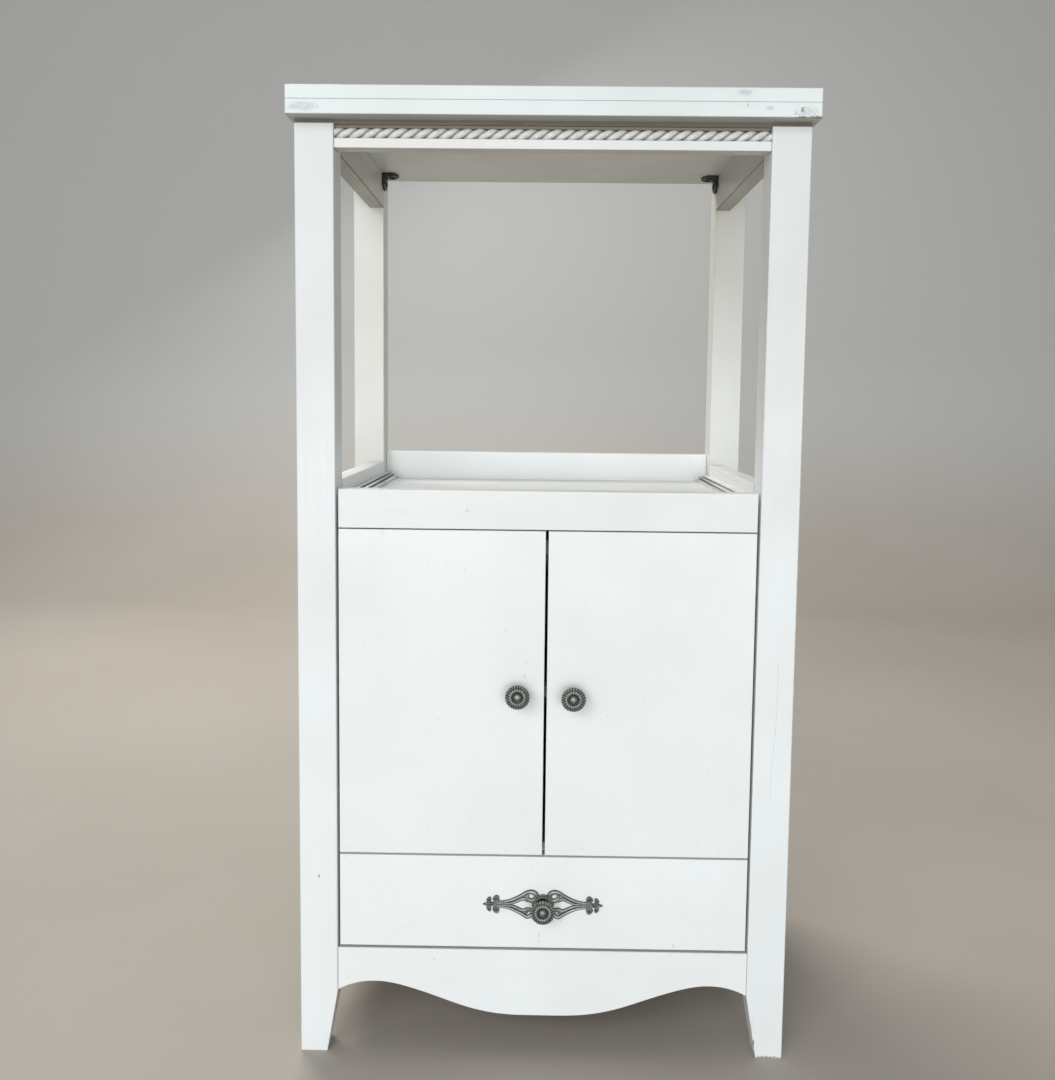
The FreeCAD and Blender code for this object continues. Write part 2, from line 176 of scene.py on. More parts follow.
# One knock: a soft ellipsoid about a point, with a ragged edge.
knock, takes, gives = new_group(
    "Knock", [("Place", "Vector"), ("Centre", "Vector"), ("Reach", "Vector"), ("Raggedness", "Float")],
    [("Mask", "Float")])
offset = vector_maths(knock, "SUBTRACT", takes["Place"], takes["Centre"])[0]
away = vector_maths(knock, "LENGTH", vector_maths(knock, "DIVIDE", offset, takes["Reach"])[0])["Value"]
tear = maths(knock, "SUBTRACT", noise(knock, takes["Place"], 420.0, 4.0, 0.7), NOISE_MIDDLE)
torn = maths(knock, "ADD", away, maths(knock, "MULTIPLY", tear, takes["Raggedness"]))
knock.links.new(ramp(knock, torn, 1.1, 0.55), gives["Mask"])

# Where this stand has been knocked: centre and reach in metres, and how ragged. Chips go to the board
# below the paint; scuffs are grey rubbed dirt on top of it. Most lie on one of three faces, given by their Y.
TOP_EDGE, LEG_FACE, DOOR_FACE = -0.2165, -0.1960, -0.1955
CHIPS = [((0.2775, TOP_EDGE, 1.0606), (0.0085, 0.005, 0.0020), 4.5),     # lipping, right end
         ((0.2640, TOP_EDGE, 1.0604), (0.0070, 0.005, 0.0012), 4.5),
         ((0.2636, TOP_EDGE, 1.0680), (0.0018, 0.003, 0.0026), 3.0),
         ((0.2560, TOP_EDGE, 1.0640), (0.0010, 0.003, 0.0010), 2.0),
         ((0.2640, LEG_FACE, 0.0004), (0.0160, 0.010, 0.0018), 4.0),     # right foot, frayed end
         ((0.2468, LEG_FACE, 0.0180), (0.0012, 0.003, 0.0055), 1.2),     # right foot, nick
         ((-0.2580, LEG_FACE, 0.2110), (0.0010, 0.003, 0.0024), 1.2),    # left leg
         ((-0.2675, 0.2190, 1.0610), (0.0100, 0.004, 0.0030), 4.0),      # lipping, rear corner
         ((0.2855, 0.1100, 1.0910), (0.0030, 0.014, 0.0025), 4.0)]       # top board, right edge
SCUFFS = [((-0.2660, TOP_EDGE, 1.0680), (0.0180, 0.004, 0.0060), 1.2),   # lipping, left end
          ((0.2025, TOP_EDGE, 1.0855), (0.0085, 0.004, 0.0042), 1.2),    # top board's edge
          ((0.2060, TOP_EDGE, 1.0722), (0.0016, 0.004, 0.0026), 1.6),    # lipping, right end
          ((0.2290, TOP_EDGE, 1.0696), (0.0045, 0.004, 0.0026), 2.2),
          ((0.2680, TOP_EDGE, 1.0660), (0.0130, 0.004, 0.0055), 4.0),
          ((0.2443, LEG_FACE, 0.0340), (0.0009, 0.004, 0.0130), 1.0),    # right foot
          ((-0.0038, DOOR_FACE, 0.1440), (0.0009, 0.003, 0.0048), 1.0),  # drawer front
          ((0.1515, DOOR_FACE, 0.1335), (0.0012, 0.003, 0.0030), 1.0),
          ((-0.0045, DOOR_FACE, 0.1367), (0.0013, 0.003, 0.0020), 0.8),
          ((-0.0895, DOOR_FACE, 0.6360), (0.0020, 0.003, 0.0022), 1.2),  # tray front
          ((-0.0457, DOOR_FACE, 0.5002), (0.0009, 0.003, 0.0026), 0.8),  # left door
          ((0.1588, LEG_FACE, 1.0288), (0.0016, 0.004, 0.0010), 0.8),    # front top rail
          ((-0.0239, DOOR_FACE, 0.4487), (0.0018, 0.003, 0.0026), 1.0)]  # left door
# A hair crack in the paint wanders down the right front leg, drawn as short lengths end to end.
CRACK_X = 0.2615, 0.2617, 0.2616, 0.2613, 0.2606, 0.2594, 0.2581, 0.2573, 0.2569
CRACK_TOP, CRACK_END, CRACK_STEP, CRACK_REACH = 0.459, 0.31, 0.0175, (0.00042, 0.003, 0.0115)
SCUFFS += [((x, LEG_FACE, z), CRACK_REACH, 0.6)
           for x, z in zip(CRACK_X, np.arange(CRACK_TOP, CRACK_END, -CRACK_STEP))]
knocks, takes, gives = new_group("Knocks", [("Place", "Vector")], [("Chip", "Float"), ("Scuff", "Float")])
for label, marks in (("Chip", CHIPS), ("Scuff", SCUFFS)):
    most = 0.0
    for centre, reach, torn in marks:
        one = placed(knocks, knock, Place=takes["Place"], Centre=centre, Reach=reach, Raggedness=torn)[0]
        most = maths(knocks, "MAXIMUM", most, one)
    knocks.links.new(most, gives[label])

CREAM = (0.805, 0.805, 0.780, 1), (0.765, 0.760, 0.720, 1)     # a paint's two tones
PRIMER, RAW_EDGE, GRIME = (0.62, 0.60, 0.54, 1), (0.31, 0.305, 0.275, 1), (0.36, 0.37, 0.36, 1)
# A dark brown, mostly painted shade under and behind pieces and in gaps and partly browning, and a near black
# for lines of dirt.
SHADE_AND_SOIL_BROWN, DIRT = (0.18, 0.145, 0.09, 1), (0.10, 0.09, 0.075, 1)
# Lines of dirt: none this far from the line, full this near to it in metres, and the two shares.
JOINT_LINE, ARRIS_LINE = (0.0009, 0.0003, 0.0, 0.8), (0.0022, 0.0008, 0.0, 0.75)


def enamel(name, along, joints=(), arris=(), shade_and_soil_rows=(), paint=CREAM):
    """Enamel brushed along one axis: tone, gloss and relief all follow the brush. joints are pairs of an axis
    and a place on it where the piece meets another and the paint has a hairline of grime. arris is two such
    pairs, whose crossing is an edge with the same line. The next argument holds rows of an axis, two places
    and a
    share: a dark brown, mostly painted shade and partly browning, grows to that share from the first place to
    the second. paint is its two tones."""
    material, tree, place = new_material(name)
    brush = noise(tree, stretched(tree, place, along_grain(along, 4.0, 330.0)), 1.0, 5.0, 0.6)
    cloud = noise(tree, place, 7.0, 3.0, 0.5)
    peel = noise(tree, place, 950.0, 2.0, 0.5)
    speck = ramp(tree, noise(tree, place, 260.0, 1.0, 0.4), 0.800, 0.825)
    smudge = noise(tree, stretched(tree, place, (170.0, 300.0, 330.0)), 1.0, 4.0, 0.65)
    worn = placed(tree, edge_wear, Place=place, Radius=0.0011, Patches=26.0, Cover=-0.03)[0]
    cut = placed(tree, scratches, Place=place, Stretch=along_grain(along, 9.0, 55.0), Width=0.0016,
                 Cover=0.0)[0]
    hit = placed(tree, knocks, Place=place)

    colour = blend_colour(tree, ramp(tree, cloud, 0.3, 0.75), *paint)
    colour = blend_colour(tree, ramp(tree, brush, 0.35, 0.80, 0.0, 0.35), colour, paint[1])
    for mask, share, tone in ((speck, 0.45, GRIME), (cut, 0.30, GRIME), (worn, 0.75, PRIMER)):
        colour = blend_colour(tree, maths(tree, "MULTIPLY", mask, share), colour, tone)
    smear = maths(tree, "MULTIPLY", hit["Scuff"], ramp(tree, smudge, 0.32, 0.66, 0.22, 0.52))
    colour = blend_colour(tree, smear, colour, GRIME)
    colour = blend_colour(tree, hit["Chip"], colour, RAW_EDGE)
    parts = put(tree, "SeparateXYZ", [(0, place)]).outputs
    for axis, clean, dirty, share in shade_and_soil_rows:
        colour = blend_colour(tree, ramp(tree, parts[axis], clean, dirty, 0.0, share), colour, SHADE_AND_SOIL_BROWN)
    lines = [ramp(tree, apart(tree, parts[axis], where), *JOINT_LINE) for axis, where in joints]
    if arris:
        off_edge = maths(tree, "ADD", *(apart(tree, parts[axis], where) for axis, where in arris))
        lines.append(ramp(tree, off_edge, *ARRIS_LINE))
    for line in lines:
        colour = blend_colour(tree, line, colour, DIRT)

    gloss = maths(tree, "ADD", ramp(tree, cloud, 0.3, 0.7, 0.30, 0.42),
                  ramp(tree, brush, 0.3, 0.7, -0.03, 0.05))
    bare = maths(tree, "MULTIPLY", maths(tree, "MAXIMUM", hit["Chip"], worn), 0.75)
    height = maths(tree, "ADD", maths(tree, "MULTIPLY", brush, 0.55), maths(tree, "MULTIPLY", peel, 0.25))
    for mask, depth in ((cut, 0.5), (hit["Chip"], 3.0)):
        height = maths(tree, "SUBTRACT", height, maths(tree, "MULTIPLY", mask, depth))
    shader = feed(tree, colour, maths(tree, "MAXIMUM", gloss, bare),
                  relief_normal(tree, 0.35, 0.00022, height))
    shader["Specular IOR Level"].default_value = 0.45
    return material


def dress(material, *names):
    """Gives CAD nodes their finish."""
    for name in names:
        for slot in nodes[name].material_slots:
            slot.material = material


# The front legs have a lighter, cooler copy of the cream, painted light, darkened towards the top as painted
# shade; the rear legs in the bay have a darker, warmer copy, painted shade.
FRONT_LEG_CREAM = (0.842, 0.858, 0.856, 1), (0.802, 0.812, 0.800, 1)
REAR_LEG_CREAM = (0.768, 0.756, 0.708, 1), (0.734, 0.716, 0.662, 1)
dress(enamel("enamel_legs", "z", shade_and_soil_rows=(("Z", 0.25, 0.90, 0.20),), paint=FRONT_LEG_CREAM),
      "leg_front_left", "leg_front_right")
dress(enamel("enamel_rear_legs", "z", paint=REAR_LEG_CREAM), "leg_rear_left", "leg_rear_right")


# ---- Top ----
# A board on a lipping that thickens its edges, both in a cooler, darker copy of the cream as painted shade,
# and darker still on their under faces as painted shade. They rest on a spacer, a strip of bare board set
# back from the front, coloured dark brown as painted shade under the top.

# A cooler, darker copy of the cream: painted shade on the top and its lipping.
TOP_SHADED_CREAM = (0.768, 0.799, 0.792, 1), (0.692, 0.718, 0.700, 1)
DARKENING_GONE, DARKENING_FULL = 0.001, 0.0003


def on_face(axis, face, inwards, share):
    """Darkening on one face of a piece, mostly painted shade: its whole share near the face, and none from a
    millimetre inwards.
    """
    return axis, face + DARKENING_GONE * inwards, face + DARKENING_FULL * inwards, share


# Painted shade: the under faces of the board and the lipping are darkened.
shade_below_top = on_face("Z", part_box("top_board")[0].z, 1, 0.31)
dress(enamel("enamel_top_board", "x", shade_and_soil_rows=(shade_below_top,), paint=TOP_SHADED_CREAM), "top_board")
shade_below_lipping = on_face("Z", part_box("top_lipping_front")[0].z, 1, 0.45)
dress(enamel("enamel_front_lipping", "x", shade_and_soil_rows=(shade_below_lipping,), paint=TOP_SHADED_CREAM), "top_lipping_front")
# The side strips' inner faces show in the bay and are browner there; inner is the box corner at that face.
for end, inner, outwards, share in (("left", 1, -1, 0.20), ("right", 0, 1, 0.40)):
    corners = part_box("top_lipping_" + end)
    dress(enamel("enamel_lipping_" + end, "y", joints=(("Z", corners[1].z),),
                 shade_and_soil_rows=(shade_below_lipping, on_face("X", corners[inner].x, outwards, share)), paint=TOP_SHADED_CREAM),
          "top_lipping_" + end)


def bare_board(name, along, pale, brown, gloss):
    """Wood grain drawn out along one axis, with pores as short dark dashes."""
    material, tree, place = new_material(name)
    grain = noise(tree, stretched(tree, place, along_grain(along, 3.0, 60.0)), 1.0, 6.0, 0.6, 0.6)
    dashes = noise(tree, stretched(tree, place, along_grain(along, 60.0, 900.0)), 1.0, 1.0)
    pore = ramp(tree, dashes, 0.62, 0.72)
    worn = placed(tree, edge_wear, Place=place, Radius=0.0009, Patches=40.0, Cover=0.05)[0]
    colour = blend_colour(tree, ramp(tree, grain, 0.32, 0.70), pale, brown)
    for mask, share in ((pore, 0.35), (worn, 0.4)):
        colour = blend_colour(tree, maths(tree, "MULTIPLY", mask, share), colour, RAW_EDGE)
    height = maths(tree, "SUBTRACT", maths(tree, "MULTIPLY", grain, 0.6), maths(tree, "MULTIPLY", pore, 0.5))
    feed(tree, colour, ramp(tree, grain, 0.3, 0.7, gloss, gloss + 0.12),
         relief_normal(tree, 0.4, 0.0002, height))
    return material


# The spacer's dark brown is painted shade under the top's overhang, over a bare wood grain.
dress(bare_board("shaded_spacer_brown", "x", (0.20, 0.18, 0.145, 1), (0.14, 0.125, 0.098, 1), 0.7), "top_spacer")


# ---- Top rails and rope moulding ----
# Three painted rails close the frame below the top. The front one carries a carved two-strand rope of
# softwood, laid in a rebate in its face and painted with it. Between the strands grime and painted shade
# darken the rope; behind the rope and on the rails' under faces the darkening is painted shade, and the side
# rails have lines of dirt along their arrises.

DULL = (0.760, 0.758, 0.735, 1), (0.725, 0.720, 0.685, 1)      # a darker, warmer copy of the cream
# The legs' faces that the rails meet, as places on X and on Y.
leg_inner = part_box("apron")[1].x
leg_back, leg_rear_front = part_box("leg_front_left")[1].y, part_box("leg_rear_left")[0].y
leg_ends, leg_sides = (("X", -leg_inner), ("X", leg_inner)), (("Y", leg_back), ("Y", leg_rear_front))
rope_low, rope_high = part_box("rope_moulding")
# Painted shade: the rebate above the rope is darkened almost to the dark brown, and the front rail's under
# face is darkened too.
shade_behind_rope = "Z", rope_high.z - 0.004, rope_high.z - 0.001, 0.94
shade_below_rail = on_face("Z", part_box("top_rail_front")[0].z, 1, 0.40)
dress(enamel("enamel_behind_rope", "x", leg_ends, shade_and_soil_rows=(shade_behind_rope, shade_below_rail), paint=DULL),
      "top_rail_front")
# The side rails are browner all over, and their under faces are darker still as painted shade.
for end, inner, share, share_below in (("left", 1, 0.35, 0.75), ("right", 0, 0.46, 0.45)):
    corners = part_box("top_rail_" + end)
    base = corners[0].z
    all_over, below = ("Z", base - 0.1, base, share), on_face("Z", base, 1, share_below)
    dress(enamel("enamel_top_rail_" + end, "y", leg_sides, (("X", corners[inner].x), ("Z", base)),
                 (all_over, below)), "top_rail_" + end)


def skin(name, grids, values=None, sharp=40.0):
    """One mesh from grids of points, each rings x points x 3. Every ring is closed on itself, and the two
    end rings are closed by a point at their middle. values is a number per point, kept as 'relief'."""
    points, quads, triangles, relief, start = [], [], [], [], 0
    for k, grid in enumerate(grids):
        rings, count = grid.shape[:2]
        here = start + np.arange(rings * count).reshape(rings, count)
        beside = np.roll(here, -1, axis=1)
        first, last = start + rings * count, start + rings * count + 1
        square = np.stack([here[:-1], beside[:-1], beside[1:], here[1:]], -1).reshape(-1, 4)
        ends = np.concatenate([np.stack([np.full(count, first), beside[0], here[0]], -1),
                               np.stack([np.full(count, last), here[-1], beside[-1]], -1)])
        spots = np.concatenate([grid.reshape(-1, 3), grid[:1].mean(1), grid[-1:].mean(1)])
        local = spots - spots.mean(0)
        sides = np.concatenate([square[:, [0, 1, 2]], square[:, [0, 2, 3]], ends]) - start
        a, b, c = (local[sides[:, i]] for i in range(3))
        if (a * np.cross(b, c)).sum() < 0:    # turned inside out, so every face is reversed
            square, ends = square[:, ::-1], ends[:, ::-1]
        points.append(spots)
        quads.append(square)
        triangles.append(ends)
        if values is not None:
            value = values[k]
            relief.append(np.concatenate([value.reshape(-1), value[:1].mean(1), value[-1:].mean(1)]))
        start = last + 1
    mesh = bpy.data.meshes.new(name)
    faces = np.concatenate(quads).tolist() + np.concatenate(triangles).tolist()
    mesh.from_pydata(np.concatenate(points), [], faces)
    if values is not None:
        kept = mesh.attributes.new("relief", "FLOAT", "POINT")
        kept.data.foreach_set("value", np.concatenate(relief).astype("f"))
    mesh.polygons.foreach_set("use_smooth", np.ones(len(mesh.polygons), bool))
    mesh.set_sharp_from_angle(angle=math.radians(sharp))
    mesh.validate()
    piece = bpy.data.objects.new(name, mesh)
    bpy.context.collection.objects.link(piece)
    return piece


def fit_out(piece, material, body):
    """Finish, body and slot of a new piece."""
    piece.data.materials.append(material)
    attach(piece, body)
    return piece


# Strands, the length of one full twist, and how far a strand's middle lies out as a share of the radius.
STRANDS, LAY, HEART = 2, 0.0280, 0.31
ROPE_RINGS, ROPE_POINTS, END_GAP, UNEVEN = 520, 42, 0.0002, 0.015
rope_radius = 0.5 * (rope_high.z - rope_low.z)
rope_y, rope_z = 0.5 * (rope_low.y + rope_high.y), 0.5 * (rope_low.z + rope_high.z)
# A strand is a circle off the rope's centre line, so the surface is HEART * cos(a) + sqrt((1 - HEART)^2 -
# (HEART * sin(a))^2) at an angle a from the strand's middle; the pattern turns once in every LAY. The
# carver's hand makes it UNEVEN by two sines of different lengths.
across, spin = np.meshgrid(np.linspace(rope_low.x + END_GAP, rope_high.x - END_GAP, ROPE_RINGS),
                           np.linspace(0, 2 * np.pi, ROPE_POINTS, endpoint=False), indexing="ij")
turn = (spin + np.pi / STRANDS) % (2 * np.pi / STRANDS) - np.pi / STRANDS
reach = HEART * np.cos(turn) + np.sqrt((1 - HEART) ** 2 - (HEART * np.sin(turn)) ** 2)
reach = reach * (1 - UNEVEN * (1 + np.sin(across * 410.0) * np.cos(across * 173.0)))
around = spin + 2 * np.pi * across / LAY
strands = np.stack([across, rope_y - rope_radius * reach * np.cos(around),
                    rope_z + rope_radius * reach * np.sin(around)], -1)
rope = skin("rope_strands", [strands], [reach], 30.0)

# The grooves, where the surface is near the rope's heart, are darkened by grime and painted shade between the
# strands.
carved, tree, place = new_material("enamel_carved")
depth = put(tree, "Attribute", attribute_name="relief", attribute_type="GEOMETRY").outputs["Fac"]
cloud = noise(tree, place, 190.0, 4.0, 0.6)
grime_and_groove_shade = ramp(tree, maths(tree, "ADD", depth, maths(tree, "MULTIPLY", cloud, 0.16)), 0.89, 0.73)
# The rope's paint is a darker copy of the cream: painted shade under the top, with some grime.
colour = blend_colour(tree, ramp(tree, cloud, 0.35, 0.7), (0.74, 0.735, 0.71, 1), (0.60, 0.595, 0.57, 1))
colour = blend_colour(tree, maths(tree, "MULTIPLY", grime_and_groove_shade, 0.80), colour, (0.17, 0.155, 0.13, 1))
feed(tree, colour, ramp(tree, cloud, 0.3, 0.7, 0.36, 0.55),
     relief_normal(tree, 0.4, 0.0003, noise(tree, place, 500.0, 4.0, 0.6)))
fit_out(rope, carved, "carcass")
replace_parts(rope, "rope_moulding")


# ---- Corner brackets ----
# Two angle plates of stamped black iron tie the top to its side rails at the rear. Cross-head screws hold
# each, two in the rail and two in the top.

def metal(name, colour, dark, gloss, metallic, along, gap_shade_rows=()):
    """Sheet metal with rolling lines along one axis, dull blotches and bright rubbed edges. The last argument
    holds rows of an axis and two places; black painted shade lies where all of them have passed their
    second place."""
    material, tree, place = new_material(name)
    rolled = noise(tree, stretched(tree, place, along_grain(along, 8.0, 700.0)), 1.0, 4.0, 0.6)
    blotch = noise(tree, place, 55.0, 4.0, 0.6)
    worn = placed(tree, edge_wear, Place=place, Radius=0.0005, Patches=60.0, Cover=0.02)[0]
    rubbed = tuple(min(1.0, 1.5 * part + 0.06) for part in colour[:3]) + (1,)
    mixed = blend_colour(tree, ramp(tree, blotch, 0.35, 0.7), colour, dark)
    mixed = blend_colour(tree, maths(tree, "MULTIPLY", worn, 0.5), mixed, rubbed)
    if gap_shade_rows:
        parts, cover = put(tree, "SeparateXYZ", [(0, place)]).outputs, 0.9
        for axis, clean, dirty in gap_shade_rows:
            cover = ramp(tree, parts[axis], clean, dirty, 0.0, cover)
        mixed = blend_colour(tree, cover, mixed, (0.035, 0.034, 0.032, 1))
    dullness = maths(tree, "ADD", ramp(tree, blotch, 0.3, 0.7, gloss, gloss + 0.16),
                     ramp(tree, rolled, 0.3, 0.7, -0.05, 0.07))
    shader = feed(tree, mixed, dullness, relief_normal(tree, 0.3, 0.00008, rolled))
    shader["Metallic"].default_value = metallic
    return material


def screws(name, places, facing, size, material, body, recess=0.7):
    """Cross-head screws: a low dome, 1 - d^2 high, less a cross-shaped recess about its middle. size is the
    head's radius and height. Plain pins have no recess."""
    radius, rise = size
    facing = np.array(facing, float)
    side = np.cross(facing, (0.3, 0.5, 0.8))
    side /= np.linalg.norm(side)
    other = np.cross(facing, side)
    share = np.array([0.5, 1.0, 1.0, 0.93, 0.80, 0.64, 0.48, 0.32, 0.16])[:, None]
    lift = np.array([0.0, 0.0, 0.35, 0.62, 0.80, 0.90, 0.96, 1.0, 1.0])[:, None]
    turn = np.linspace(0, 2 * np.pi, 32, endpoint=False)[None, :]
    x, y = share * np.cos(turn), share * np.sin(turn)
    cross = np.minimum(np.abs(x), np.abs(y)) < 0.12
    lift = lift - recess * (cross & (share < 0.6) & (lift > 0.5))
    head = radius * (x[..., None] * side + y[..., None] * other)
    grids = [np.array(middle)[None, None, :] + head + rise * lift[..., None] * facing for middle in places]
    return fit_out(skin(name, grids, None, 35.0), material, body)


HANDS = (1, "right"), (-1, "left")
IRON_SHEET, BRACKET_SCREW, SCREW_INSET, SCREW_ASIDE = 0.0025, (0.0037, 0.0016), 0.0115, 0.0105
iron = metal("black_iron", (0.030, 0.029, 0.028, 1), (0.014, 0.013, 0.013, 1), 0.42, 0.35, "y")
dress(iron, "bracket_left", "bracket_right")
for hand, name in HANDS:
    low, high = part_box("bracket_" + name)
    wall, middle = (high.x if hand > 0 else low.x), 0.5 * (low.y + high.y)
    rows = middle - SCREW_ASIDE, middle + SCREW_ASIDE
    screws("bracket_side_screws_" + name, [(wall - hand * IRON_SHEET, y, high.z - SCREW_INSET) for y in rows],
           (-hand, 0, 0), BRACKET_SCREW, iron, "carcass")
    screws("bracket_top_screws_" + name, [(wall - hand * SCREW_INSET, y, high.z - IRON_SHEET) for y in rows],
           (0, 0, -1), BRACKET_SCREW, iron, "carcass")


# ---- Rails round the open bay ----
# A painted softwood rail on each side and a taller one at the back edge the tray and carry its slides. The
# left and back ones have a lighter copy of the cream, painted light where they lie in the bay's shade.

BAY_LIT_CREAM = (0.940, 0.944, 0.930, 1), (0.920, 0.922, 0.900, 1)     # a lighter copy of the cream: painted light
dress(enamel("enamel_shelf_rail", "y", leg_sides, paint=BAY_LIT_CREAM), "shelf_rail_left")
dress(enamel("enamel_back_rail", "x", leg_ends, paint=BAY_LIT_CREAM), "back_rail")
side_between_legs = enamel("enamel_side_between_legs", "y", leg_sides)
dress(side_between_legs, "shelf_rail_right")


# ---- Pull-out tray ----
# A painted board on two battens, behind a deep front. It runs on ball-bearing slides of zinc-plated steel,
# three members a side, screwed to the side rails and to the battens. The cabinet and middle members are a
# lighter copy of the zinc, painted light, and black painted shade lies in their gaps at their rear ends.

crosswise, lengthwise = (enamel("enamel_" + axis, axis) for axis in "xy")
dress(enamel("enamel_tray_front", "x", paint=DULL), "tray_front")
dress(crosswise, "tray_floor")
dress(lengthwise, "tray_battens")

STEEL_SHEET, SLIDE_SCREW = 0.0012, (0.0030, 0.0009)
SLIDE_HOLES, TRAY_HOLES = (0.025, 0.160, 0.325), (0.035, 0.180, 0.315)    # distances from the front end
slide_low, slide_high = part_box("slide_members_cabinet")
slide_z = 0.5 * (slide_low.z + slide_high.z)
# Painted shade: black in the gaps between the slide members, below their top edges and towards their rear
# ends.
slide_gap_shade = ("Z", slide_high.z - STEEL_SHEET, slide_high.z - 0.0045), ("Y", 0.0, 0.15)
zinc = metal("zinc_plate", (0.74, 0.74, 0.73, 1), (0.60, 0.60, 0.59, 1), 0.30, 0.75, "y")
# The cabinet and middle members get a lighter copy of the zinc, painted light.
dress(metal("zinc_slides", (0.84, 0.84, 0.83, 1), (0.72, 0.72, 0.71, 1), 0.34, 0.60, "y", slide_gap_shade),
      "slide_members_cabinet", "slide_members_middle")
dress(zinc, "slide_members_tray")
wall, web = slide_high.x - STEEL_SHEET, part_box("slide_members_tray")[0].x + STEEL_SHEET
for hand, name in HANDS:
    screws("slide_screws_" + name, [(hand * wall, slide_low.y + hole, slide_z) for hole in SLIDE_HOLES],
           (-hand, 0, 0), SLIDE_SCREW, zinc, "carcass")
    screws("tray_slide_screws_" + name, [(-hand * web, slide_low.y + hole, slide_z) for hole in TRAY_HOLES],
           (hand, 0, 0), SLIDE_SCREW, zinc, "tray")


# ---- Cupboard ----
# Painted board sides, roof, floor and one loose shelf on four steel pins, with a thin back of bare board
# held by small pins. The roof's front edge is darkened as painted shade in the gap between the doors. A twin
# magnetic catch hangs from the roof: a white moulding with two dark magnets in its front.

between_legs = enamel("enamel_between_legs", "x", leg_ends)
# Painted shade: the roof's front edge, seen through the gap between the doors, is darkened.
shade_on_roof_edge = on_face("Y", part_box("cupboard_roof")[0].y, 1, 0.8)
dress(enamel("enamel_z", "z"), "side_panel_left", "side_panel_right")
dress(enamel("enamel_cupboard_roof", "x", leg_ends, shade_and_soil_rows=(shade_on_roof_edge,)), "cupboard_roof")
dress(between_legs, "cupboard_floor")
dress(crosswise, "cupboard_shelf")
dress(zinc, "shelf_pins")
dress(bare_board("back_board", "z", (0.58, 0.51, 0.41, 1), (0.46, 0.38, 0.28, 1), 0.55), "back_panel")

PIN, PIN_INSET, PIN_MARGIN, PIN_SPREAD, PINS_UP, PINS_ACROSS = (0.0013, 0.0004), 0.007, 0.012, 0.75, 7, 5
low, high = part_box("back_panel")
edge_x, pin_heights = high.x - PIN_INSET, np.linspace(low.z + PIN_MARGIN, high.z - PIN_MARGIN, PINS_UP)
pins = [(x, high.y, z) for x in (-edge_x, edge_x) for z in pin_heights]
pins += [(x, high.y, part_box(board)[0].z + PIN_INSET) for board in ("cupboard_floor", "cupboard_roof")
         for x in np.linspace(PIN_SPREAD * low.x, PIN_SPREAD * high.x, PINS_ACROSS)]
screws("back_panel_pins", pins, (0, 1, 0), PIN, zinc, "carcass", 0.0)

MAGNET_DEPTH, MAGNET_EDGE, CATCH_SCREW, CATCH_INSET = 0.0022, 0.0004, (0.0026, 0.0010), 0.006
moulded, tree, place = new_material("white_moulding")
low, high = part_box("door_catch")
tone = noise(tree, place, 90.0, 3.0)
white = blend_colour(tree, ramp(tree, tone, 0.35, 0.7), (0.80, 0.79, 0.74, 1), (0.70, 0.68, 0.61, 1))
depth = put(tree, "SeparateXYZ", [(0, place)]).outputs["Y"]
magnets = ramp(tree, depth, low.y + MAGNET_DEPTH + MAGNET_EDGE, low.y + MAGNET_DEPTH)
colour = blend_colour(tree, magnets, white, (0.045, 0.045, 0.048, 1))
feed(tree, colour, ramp(tree, tone, 0.3, 0.7, 0.42, 0.55),
     relief_normal(tree, 0.3, 0.0001, noise(tree, place, 1800.0)))
dress(moulded, "door_catch")
middle = 0.5 * (low.y + high.y)
screws("catch_screws", [(x, middle, low.z) for x in (low.x + CATCH_INSET, high.x - CATCH_INSET)],
       (0, 0, -1), CATCH_SCREW, zinc, "carcass")


# ---- Doors ----
# Two flat painted doors set in between the legs. Each hangs on two concealed hinges, a steel cup in the door
# and an arm on the cupboard's side, and carries a steel striker for the catch and a knob on one bolt.

# The doors have a lighter, cooler copy of the cream, painted light, and painted shade darkens them a little
# towards the top.
DOOR_CREAM = (0.842, 0.850, 0.838, 1), (0.800, 0.803, 0.778, 1)
dress(enamel("enamel_doors", "z", shade_and_soil_rows=(("Z", 0.25, 0.58, 0.055),), paint=DOOR_CREAM),
      "door_left", "door_right")
dress(zinc, "hinge_arms", "hinge_cups_left", "hinge_cups_right", "striker_left", "striker_right")

# The knobs are rosettes cast in antique pewter: a neck, a body that flares to a fluted rim, a ring of
# beads, a dark groove and a domed boss. Handling has brightened the high points.
pewter, tree, place = new_material("antique_pewter")
relief = put(tree, "Attribute", attribute_name="relief", attribute_type="GEOMETRY").outputs["Fac"]
stain = noise(tree, place, 240.0, 5.0, 0.62)
blotched = maths(tree, "MULTIPLY", maths(tree, "SUBTRACT", stain, NOISE_MIDDLE), 0.9)
bright = ramp(tree, maths(tree, "ADD", relief, blotched), 0.12, 1.0)
colour = blend_colour(tree, bright, (0.046, 0.049, 0.043, 1), (0.38, 0.385, 0.355, 1))
tarnish = ramp(tree, noise(tree, place, 70.0, 3.0), 0.45, 0.75, 0.0, 0.5)
colour = blend_colour(tree, tarnish, colour, (0.15, 0.155, 0.13, 1))
gloss = maths(tree, "ADD", ramp(tree, bright, 0.0, 1.0, 0.58, 0.40), ramp(tree, stain, 0.3, 0.7, -0.05, 0.08))
shader = feed(tree, colour, gloss, relief_normal(tree, 0.5, 0.00012, noise(tree, place, 1500.0, 4.0, 0.6)))
tree.links.new(ramp(tree, bright, 0.0, 1.0, 0.40, 0.85), shader["Metallic"])

